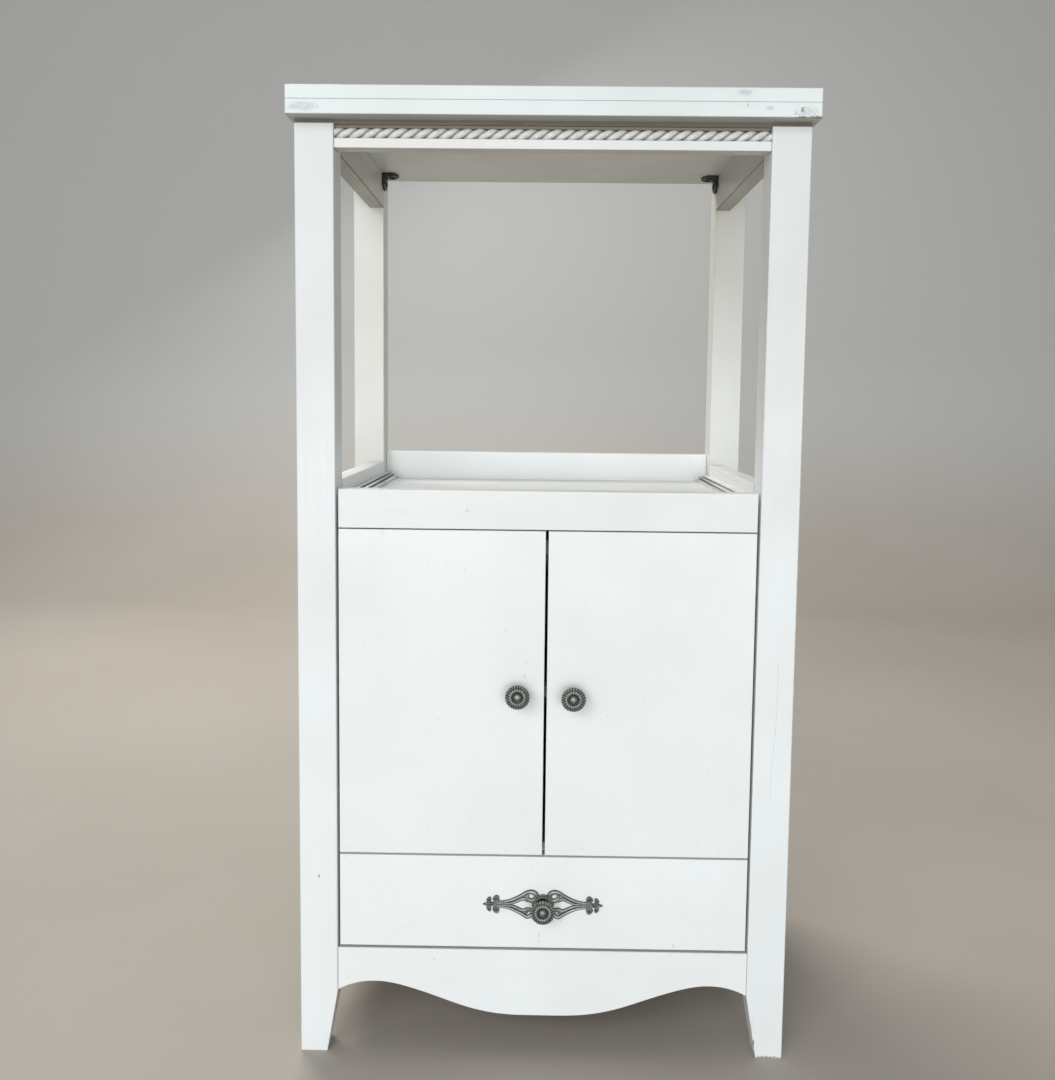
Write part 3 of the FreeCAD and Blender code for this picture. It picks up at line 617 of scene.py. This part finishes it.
# Profile of a knob as radius, height and relief, in millimetres; the beads and flutes are added to it.
PROFILE = np.array([
    (0.2, 0.0, 0.1), (8.0, 0.0, 0.2), (8.0, 1.2, 0.6), (6.4, 2.6, 0.2), (5.2, 5.2, 0.1), (5.4, 8.2, 0.2),
    (8.0, 12.6, 0.3), (11.4, 16.4, 0.4), (13.4, 18.8, 0.6), (14.0, 20.4, 0.75), (13.8, 21.4, 0.8),
    (13.0, 22.2, 0.7), (11.6, 22.5, 0.6), (10.8, 22.3, 0.35), (10.2, 22.3, 0.3), (8.1, 22.7, 0.4),
    (6.4, 22.3, 0.3), (5.9, 21.8, 0.12), (5.4, 21.4, 0.02), (4.8, 21.3, 0.02), (4.2, 21.8, 0.25),
    (3.7, 22.5, 0.55), (2.8, 23.2, 0.65), (1.5, 23.8, 0.72), (0.2, 24.0, 0.72)])
RIM_FROM, RIM_FADE, RIM_BASE, RIM_FRONT = 10.4, 1.2, 17.0, 19.0
FLUTES, FLUTE_IN, FLUTE_DOWN = 26, 0.045, 1.3
BEADS, BEAD_RING, BEAD_LONG, BEAD_WIDE, BEAD_RISE, BEAD_BASE = 20, 8.1, 1.9, 1.15, 0.7, 21.0


def rosette(name):
    """Profile turned about the knob's axis. The rim is drawn in by |sin| flutes, and each long bead adds
    sqrt(1 - d^2) of its height at a distance d from its middle, as a share of its reach."""
    low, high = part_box(name)
    steps = np.linspace(0, 1, len(PROFILE))
    fine = np.concatenate([np.linspace(0, 0.5, 30, endpoint=False), np.linspace(0.5, 1, 56)])
    radius, height, worn = (np.interp(fine, steps, PROFILE[:, i])[:, None] for i in range(3))
    angle = np.linspace(0, 2 * np.pi, 320, endpoint=False)[None, :]
    rim = np.clip((radius - RIM_FROM) / RIM_FADE, 0, 1) * (height > RIM_BASE)
    flute = 1 - np.abs(np.sin(0.5 * FLUTES * angle)) ** 0.7
    across = radius * (1 - FLUTE_IN * rim * flute)
    along = height - FLUTE_DOWN * rim * flute * (height > RIM_FRONT)
    off = (angle * BEADS / (2 * np.pi) + 0.5) % 1.0 - 0.5
    gap = np.hypot(off * 2 * np.pi * BEAD_RING / (BEADS * BEAD_WIDE), (radius - BEAD_RING) / BEAD_LONG)
    bead = np.sqrt(np.clip(1 - gap ** 2, 0, 1)) * (height > BEAD_BASE)
    between = (np.abs(radius - BEAD_RING) < BEAD_LONG) * (bead < 0.1)
    worn = np.clip(worn - 0.70 * rim * flute + 0.60 * bead - 0.25 * between, 0, 1)
    along = along + BEAD_RISE * bead
    front = low.y + 0.001 * (PROFILE[-1, 1] - along)
    grid = np.stack([0.5 * (low.x + high.x) + 0.001 * across * np.cos(angle), np.minimum(front, high.y),
                     0.5 * (low.z + high.z) + 0.001 * across * np.sin(angle)], -1)
    return skin(name + "_rosette", [grid], [worn + 0 * across], 50.0)


BOLT, STRIKER_SCREW = (0.0048, 0.0022), (0.0022, 0.0005)
PLATE_SCREW, ARM_SCREW = (0.0030, 0.0012), (0.0026, 0.0008)
ARM_HALF, PLATE_THICK, PLATE_BACK, ARM_WEB = 0.014, 0.0025, 0.020, 0.012
CUP_EDGE, CUP_ROWS, PLATE_ROWS, ARM_HOLES = 0.0040, (-0.0132, 0.0132), (-0.010, 0.010), (0.026, 0.046)
arm_low, arm_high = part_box("hinge_arms")
hinge_heights = (arm_low.z + ARM_HALF, arm_high.z - ARM_HALF)
for hand, name in HANDS:
    door = "door_" + name
    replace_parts(fit_out(rosette("door_knob_" + name), pewter, door), "door_knob_" + name)
    low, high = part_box("door_knob_" + name)
    screws("knob_bolt_" + name, [(0.5 * (low.x + high.x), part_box(door)[1].y, 0.5 * (low.z + high.z))],
           (0, 1, 0), BOLT, zinc, door)
    foot_x, foot_y = hand * (arm_high.x - PLATE_THICK), arm_high.y - PLATE_BACK
    screws("hinge_plate_screws_" + name, [(foot_x, foot_y, z + row) for z in hinge_heights
                                          for row in PLATE_ROWS],
           (-hand, 0, 0), PLATE_SCREW, zinc, "carcass")
    screws("hinge_arm_screws_" + name, [(hand * (arm_high.x - ARM_WEB), arm_low.y + hole, z)
                                        for z in hinge_heights for hole in ARM_HOLES],
           (-hand, 0, 0), ARM_SCREW, zinc, "carcass")
    low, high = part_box("hinge_cups_" + name)
    cup_x = low.x + CUP_EDGE if hand > 0 else high.x - CUP_EDGE
    screws("hinge_cup_screws_" + name, [(cup_x, high.y, z + row) for z in hinge_heights for row in CUP_ROWS],
           (0, 1, 0), ARM_SCREW, zinc, door)
    low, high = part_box("striker_" + name)
    screws("striker_screw_" + name, [(0.5 * (low.x + high.x), high.y, 0.5 * (low.z + high.z))],
           (0, 1, 0), STRIKER_SCREW, zinc, door)


# ---- Drawer ----
# A painted front on a box of pale veneered board left bare, which slides on two wooden cleats. Its pull is
# a knob like the doors' over a pierced backplate cast in the same pewter, held by the knob's bolt: twin arms
# run from four scrolls about the knob to a spray of petals at each end.

FRONT_LIT_CREAM = (0.865, 0.878, 0.870, 1), (0.825, 0.832, 0.812, 1)    # a lighter, cooler copy of the cream: painted light
PALE_VENEER = (0.64, 0.55, 0.42, 1), (0.50, 0.39, 0.26, 1)
dress(enamel("enamel_drawer_front", "x", paint=FRONT_LIT_CREAM), "drawer_front")
dress(bare_board("bare_board_lengthwise", "y", *PALE_VENEER, 0.45),
      "drawer_side_left", "drawer_side_right", "drawer_cleats", "drawer_bottom")
dress(bare_board("bare_board_crosswise", "x", *PALE_VENEER, 0.45), "drawer_back")

low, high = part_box("drawer_backplate")
plate_x, plate_z, plate_back, plate_front = 0.5 * (low.x + high.x), 0.5 * (low.z + high.z), high.y, low.y


def on_plate(x, z, height):
    """Points in millimetres from the plate's middle, put on the drawer front."""
    return np.stack([plate_x + 0.001 * x, np.maximum(plate_back - 0.001 * height, plate_front),
                     plate_z + 0.001 * z], -1)


def smooth_line(points, count):
    """Cardinal spline through points, evenly spread: each span is a cubic with its neighbours' slopes."""
    p = np.array(points, float)
    p = np.concatenate([2 * p[:1] - p[1:2], p, 2 * p[-1:] - p[-2:-1]])
    s = np.linspace(0, len(points) - 1, count)
    i = np.minimum(s.astype(int), len(points) - 2)
    t = (s - i)[:, None]
    a, b, c, d = p[i], p[i + 1], p[i + 2], p[i + 3]
    bend, twist = 2 * a - 5 * b + 4 * c - d, 3 * b - a - 3 * c + d
    return 0.5 * (2 * b + (c - a) * t + bend * t ** 2 + twist * t ** 3)


def strap(points, count, flip_x, flip_z):
    """A band along a line of (x, z, half width, height), D-shaped in section: sin^0.55 high."""
    line = smooth_line(points, count)
    line[:, 0] *= flip_x
    line[:, 1] *= flip_z
    slope = np.gradient(line[:, :2], axis=0)
    slope /= np.linalg.norm(slope, axis=1)[:, None]
    turn = np.linspace(0, 2 * np.pi, 28, endpoint=False)[None, :]
    side = line[:, 2:3] * np.cos(turn)
    rise = np.clip(np.sin(turn), 0, 1) ** 0.55
    grid = on_plate(line[:, :1] - slope[:, 1:] * side, line[:, 1:2] + slope[:, :1] * side,
                    line[:, 3:4] * rise)
    return grid, np.clip(1.7 * rise - 0.85, 0, 0.85) * np.clip(line[:, 3:4] / 2.4, 0, 1)


def petal(x, z, long, wide, tilt, height):
    """A cupped oval with its long axis tilted by an angle: a dome, sqrt(1 - d^4), hollowed in its middle
    by 1 - (d / 0.6)^2, at a distance d from its middle as a share of its reach."""
    share = np.sin(np.linspace(0.04, 0.5, 16) * np.pi)[:, None]
    turn = np.linspace(0, 2 * np.pi, 32, endpoint=False)[None, :]
    u, v = long * share * np.cos(turn), wide * share * np.sin(turn) * (1 - 0.25 * np.cos(turn))
    x, z = x + u * math.cos(tilt) - v * math.sin(tilt), z + u * math.sin(tilt) + v * math.cos(tilt)
    hollow = np.clip(1 - (share / 0.6) ** 2, 0, 1)
    rise = np.sqrt(np.clip(1 - share ** 4, 0, 1)) * (1 - 0.4 * hollow) + 0 * turn
    return (np.concatenate([on_plate(x, z, 0.4 + height * rise), on_plate(x, z, 0 * rise)[::-1]]),
            np.concatenate([np.clip(0.75 * rise - 0.25 * hollow - 0.1, 0, 1), 0 * rise]))


# The two ridges of an arm as (x, z, half width, height) in millimetres: the outer one curls into the scroll
# round its open eye, the inner one edges the lozenge-shaped opening. LOW_SCROLL is the smaller curl below.
INNER = [(56.0, 0.9, 0.9, 1.7), (47.0, 1.0, 1.1, 1.9), (40.4, 1.1, 1.3, 2.1), (36.0, 1.6, 1.5, 2.2),
         (31.0, 3.4, 1.7, 2.3), (27.0, 5.4, 1.8, 2.3), (23.4, 6.9, 2.0, 2.3), (20.0, 6.4, 2.2, 2.2),
         (17.0, 4.6, 2.0, 2.0)]
OUTER = [(56.0, 2.4, 1.1, 1.8), (47.0, 3.0, 1.4, 2.1), (40.4, 3.9, 1.6, 2.3), (34.1, 6.0, 1.8, 2.4),
         (28.4, 8.7, 1.9, 2.5), (23.1, 11.6, 2.1, 2.6), (18.6, 14.4, 2.3, 2.7)]
HIGH_SCROLL = [(13.4, 15.3, 2.7, 2.8), (9.0, 13.6, 2.8, 2.8), (7.4, 9.9, 2.9, 2.7), (9.2, 6.1, 2.8, 2.6),
               (13.2, 4.8, 2.7, 2.5), (16.8, 6.4, 2.5, 2.4), (18.1, 9.6, 2.1, 2.2), (16.6, 12.0, 1.5, 1.9)]
LOW_SCROLL = [(16.0, 14.0, 2.4, 2.4), (12.8, 12.2, 2.5, 2.2), (12.0, 9.0, 2.6, 2.0), (14.0, 6.3, 2.5, 1.9),
              (17.2, 6.2, 2.4, 1.8), (19.2, 8.2, 2.1, 1.7), (18.6, 10.6, 1.6, 1.6)]
UPWARD = 0.5 * math.pi
shapes = []
for flip_x in (1, -1):
    for flip_z, curl in ((1, HIGH_SCROLL), (-1, LOW_SCROLL)):
        shapes.append(strap(INNER, 70, flip_x, flip_z))
        shapes.append(strap(OUTER + curl, 120, flip_x, flip_z))
        shapes.append(petal(flip_x * 53.6, flip_z * 6.8, 4.3, 3.9, flip_z * (UPWARD + flip_x * 0.30), 2.3))
        shapes.append(petal(flip_x * 61.9, flip_z * 5.4, 3.6, 2.7, flip_z * (UPWARD + flip_x * 0.35), 2.1))
    shapes.append(petal(flip_x * 60.4, 0.0, 8.8, 2.6, 0.0 if flip_x > 0 else math.pi, 2.3))
# The disc under the knob is a profile of radius, height and relief, turned about the bolt.
DISC = np.array([(0.3, 0.0, 0), (11.9, 0.0, 0), (12.7, 0.5, 0.3), (12.7, 1.9, 0.55), (11.9, 2.7, 0.75),
                 (10.9, 2.2, 0.45), (9.9, 2.6, 0.65), (8.0, 2.7, 0.45), (0.3, 2.7, 0.4)])
turn = np.linspace(0, 2 * np.pi, 96, endpoint=False)[None, :]
radius, rise, worn = (DISC[:, i:i + 1] + 0 * turn for i in range(3))
shapes.append((on_plate(radius * np.cos(turn), radius * np.sin(turn), rise), worn))
grids, reliefs = zip(*shapes)
plate = fit_out(skin("drawer_pull_plate", grids, reliefs, 55.0), pewter, "drawer")
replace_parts(plate, "drawer_backplate")
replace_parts(fit_out(rosette("drawer_knob"), pewter, "drawer"), "drawer_knob")
low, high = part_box("drawer_knob")
screws("drawer_knob_bolt", [(0.0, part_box("drawer_front")[1].y, 0.5 * (low.z + high.z))],
       (0, 1, 0), BOLT, zinc, "drawer")


# ---- Apron and lower rails ----
# A painted apron, sawn to a scalloped lower edge, stands between the front legs below the drawer. Plain
# rails join the legs at the sides and the back, and a board closes the stand under the drawer, coloured dark
# brown as painted shade in the gap between drawer and apron.

# The apron has the drawer front's lighter copy of the cream, painted light, and painted shade darkens its top
# face, seen in the gap under the drawer.
apron_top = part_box("apron")[1].z
dress(enamel("enamel_apron", "x", leg_ends, shade_and_soil_rows=(("Z", apron_top - 0.0012, apron_top - 0.0004, 0.3),),
             paint=FRONT_LIT_CREAM), "apron")
dress(side_between_legs, "lower_rail_left", "lower_rail_right")
dress(between_legs, "back_lower_rail")
# The board's dark brown is painted shade in the gap between drawer and apron, over a wood grain.
dress(bare_board("gap_shade_dark_board", "x", (0.22, 0.16, 0.105, 1), (0.15, 0.105, 0.07, 1), 0.5), "bottom_board")


# ---- Studio ----
# A sheet of pale paper lies flat as the floor and turns up into the backdrop. Six soft lights stand round
# the stand, in pale cool daylight, and the camera looks at it from the front, a little from above.

FLOOR_HALF, BACKDROP_FROM, BACKDROP_TOP = 9.0, 2.4, 5.0


def sweep(name):
    """Floor and backdrop: flat, then a quarter circle of 1 m radius, then upright, carried along X."""
    turn = np.linspace(0, 0.5 * np.pi, 16)
    depth = np.concatenate([[-FLOOR_HALF], BACKDROP_FROM + np.sin(turn), [BACKDROP_FROM + 1.0]])
    rise = np.concatenate([[0.0], 1 - np.cos(turn), [BACKDROP_TOP]])
    width, depth = np.meshgrid(np.array([-FLOOR_HALF, FLOOR_HALF]), depth, indexing="ij")
    grid = np.stack([width, depth, rise[None, :] + 0 * depth], -1)
    here = np.arange(grid.shape[1])
    faces = np.stack([here[:-1], grid.shape[1] + here[:-1], grid.shape[1] + here[1:], here[1:]], -1)
    mesh = bpy.data.meshes.new(name)
    mesh.from_pydata(grid.reshape(-1, 3), [], faces.tolist())
    mesh.polygons.foreach_set("use_smooth", np.ones(len(mesh.polygons), bool))
    piece = bpy.data.objects.new(name, mesh)
    bpy.context.collection.objects.link(piece)
    return piece


PAPER_LOW, PAPER_LOW_DEEP = (0.46, 0.41, 0.355, 1), (0.43, 0.38, 0.325, 1)
PAPER_HIGH, PAPER_FADE = (0.545, 0.536, 0.513, 1), 0.9
floor = sweep("studio_floor")
paper, tree, place = new_material("studio_paper")
shader = tree.nodes["Principled BSDF"].inputs
tone = blend_colour(tree, ramp(tree, noise(tree, place, 1.3, 4.0), 0.3, 0.7), PAPER_LOW, PAPER_LOW_DEEP)
upright_share = ramp(tree, put(tree, "SeparateXYZ", [(0, place)]).outputs["Z"], 0.0, PAPER_FADE)
tree.links.new(blend_colour(tree, upright_share, tone, PAPER_HIGH), shader["Base Color"])
shader["Roughness"].default_value = 0.8
floor.data.materials.append(paper)
floor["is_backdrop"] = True

world = bpy.data.worlds.new("studio")
bpy.context.scene.world = world
world.use_nodes = True
sky = world.node_tree.nodes["Background"].inputs
sky["Color"].default_value, sky["Strength"].default_value = (0.86, 0.93, 1.0, 1), 0.285
bpy.context.scene.view_settings.view_transform = "Standard"


def soft_light(name, place, aim, size, power, colour):
    """A rectangular lamp at a place, turned to face a point, in metres and watts."""
    lamp = bpy.data.lights.new(name, "AREA")
    lamp.shape, lamp.size, lamp.size_y = "RECTANGLE", *size
    lamp.energy, lamp.color = power, colour
    holder = bpy.data.objects.new(name, lamp)
    turned = (Vector(aim) - Vector(place)).to_track_quat("-Z", "Y").to_matrix().to_4x4()
    holder.matrix_world = Matrix.Translation(place) @ turned
    holder.visible_camera = False
    bpy.context.collection.objects.link(holder)


soft_light("key", (-3.4, -6.8, 4.2), (0, 0, 0.5), (4.4, 3.2), 222.0, (0.915, 0.970, 1.0))
soft_light("front", (0.2, -4.6, 0.7), (0, 0, 0.5), (4.0, 1.9), 126.0, (0.93, 0.975, 1.0))
soft_light("left side", (-3.2, -1.2, 1.0), (0.2, -0.1, 0.7), (1.6, 1.6), 8.5, (0.97, 0.99, 1.0))
soft_light("right side", (3.2, -1.0, 1.0), (-0.2, -0.1, 0.7), (1.6, 1.6), 4.0, (0.97, 0.99, 1.0))
soft_light("above", (0.0, 0.3, 3.6), (0, 0, 0.5), (2.4, 2.4), 16.0, (1.0, 0.99, 0.97))
soft_light("behind", (-1.2, 2.3, 2.7), (0, 0, 0.6), (1.8, 1.2), 72.0, (1.0, 0.985, 0.96))

PITCH, YAW, ROLL = 0.08918, -0.01122, 0.01095
CAMERA_AT, SENSOR, FOCAL_LENGTH, SHIFT_UP = (-0.0095, -1.3778, 0.7640), 36.0, 35.58, -0.0449
ahead = Vector((math.sin(YAW) * math.cos(PITCH), math.cos(YAW) * math.cos(PITCH), -math.sin(PITCH)))
level = Vector((math.cos(YAW), -math.sin(YAW), 0))
upward = level.cross(ahead)
side = math.cos(ROLL) * level + math.sin(ROLL) * upward
above = -math.sin(ROLL) * level + math.cos(ROLL) * upward
lens = bpy.data.cameras.new("camera")
lens.sensor_width, lens.lens, lens.shift_y = SENSOR, FOCAL_LENGTH, SHIFT_UP
camera = bpy.data.objects.new("camera", lens)
camera.matrix_world = Matrix.Translation(CAMERA_AT) @ Matrix((side, above, -ahead)).transposed().to_4x4()
bpy.context.collection.objects.link(camera)
bpy.context.scene.camera = camera

low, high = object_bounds()
